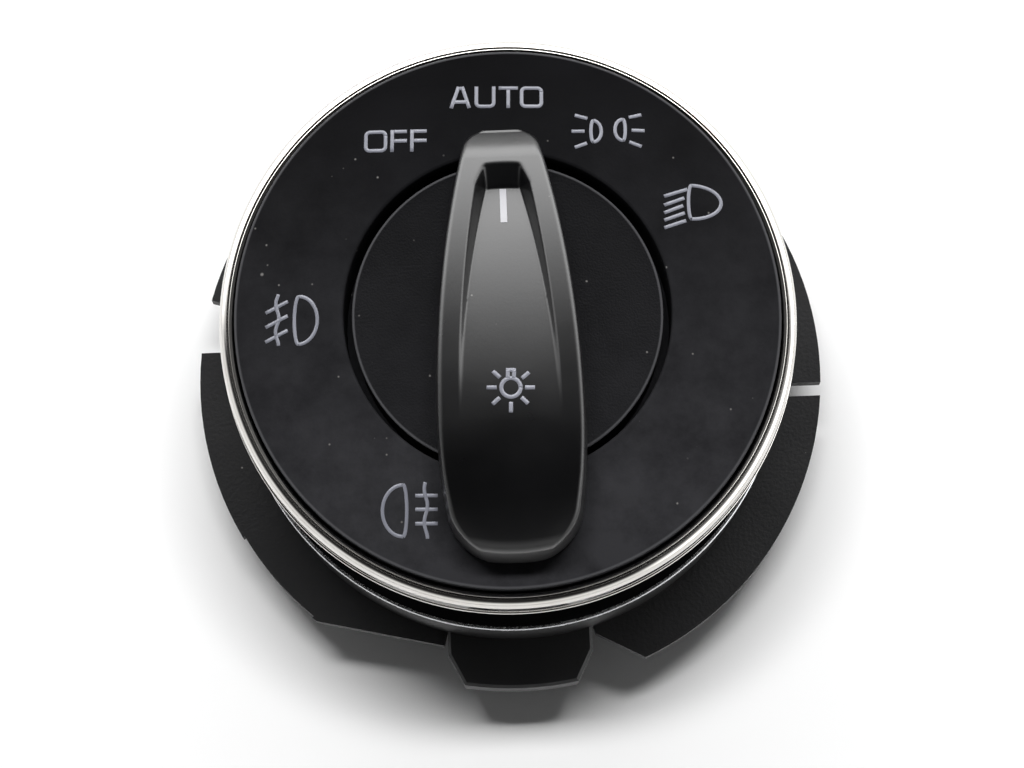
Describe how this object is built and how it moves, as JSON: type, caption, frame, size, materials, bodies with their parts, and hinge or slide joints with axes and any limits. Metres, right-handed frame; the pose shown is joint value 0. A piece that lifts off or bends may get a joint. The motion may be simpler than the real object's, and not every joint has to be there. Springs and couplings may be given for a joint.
{
  "type": "headlight switch",
  "caption": "Round rotary vehicle lamp switch: teardrop pull-out knob, domed face with lamp symbols, bright trim ring, mounting wings, contact mechanism and rear plug socket.",
  "frame": {"origin": "on the knob's axis, at the flat back of the rear cover that the switch rests on", "axes": "+Z along the knob's axis out of the face, +Y towards the pointer end of the grip at rest, +X to the right as the driver sees the face"},
  "size_m": [0.0852, 0.0854, 0.0801],
  "materials": {
    "housing_plastic": "fine spark-eroded satin, black filled nylon",
    "cover_plastic": "satin black filled nylon",
    "collar_plastic": "smooth black",
    "face_plastic": "satin soft-touch lacquer, black",
    "disc_plastic": "fine moulded grain, black",
    "grip_plastic": "satin-gloss black",
    "trim_chrome": "bright plated, light wear",
    "bead_metal": "satin anodised",
    "pointer_white": "milky white",
    "clear_acrylic": "clear, polished",
    "board_green": "lacquered glass-fibre board",
    "lamp_body": "pale resin",
    "chip_black": "ceramic chips",
    "contact_brass": "tinned and bare stamped strip",
    "spring_steel": "bright spring strip and wire",
    "screw_zinc": "zinc plated",
    "natural_acetal": "natural acetal, waxy",
    "shaft_acetal": "dark acetal, waxy"
  },
  "bodies": {
    "housing": {"main_housing": "housing_plastic", "rear_cover": "cover_plastic", "cover_screws": "screw_zinc", "collar_screws": "screw_zinc", "front_collar": "collar_plastic", "collar_bead": "bead_metal", "chrome_ring": "trim_chrome", "bezel_face": "face_plastic", "light_guide": "clear_acrylic", "led_board": "board_green", "leds": "lamp_body", "board_resistors": "chip_black", "link_pins": "contact_brass", "contact_board": "board_green", "contact_tracks": "contact_brass", "terminal_pins": "contact_brass", "turn_detent_spring": "spring_steel", "thrust_washer": "spring_steel", "fog_tracks": "contact_brass"},
    "rotor": {"rotor_drum": "natural_acetal", "rotor_wiper": "contact_brass", "pull_detent_spring": "spring_steel"},
    "knob": {"knob_grip": "grip_plastic", "knob_disc": "disc_plastic", "pointer_window": "pointer_white", "knob_shaft": "shaft_acetal", "shaft_clip": "spring_steel"},
    "slider": {"fog_slider": "natural_acetal", "fog_contacts": "contact_brass"}
  },
  "joints": [
    {"name": "knob_turn", "type": "hinge", "parent": "housing", "child": "rotor", "pos_m": [0, 0, 0.034], "axis": [0, 0, 1], "range_deg": [-60, 30], "deforming": ["turn_detent_spring"]},
    {"name": "knob_pull", "type": "slide", "parent": "rotor", "child": "knob", "axis": [0, 0, 1], "range_m": [0, 0.007], "deforming": ["pull_detent_spring"]},
    {"name": "slider_lift", "type": "slide", "parent": "housing", "child": "slider", "axis": [0, 0, 1], "range_m": [0, 0.007]}
  ],
  "couplings": [
    {"joint": "slider_lift", "follows": "knob_pull", "ratio": 1}
  ]
}
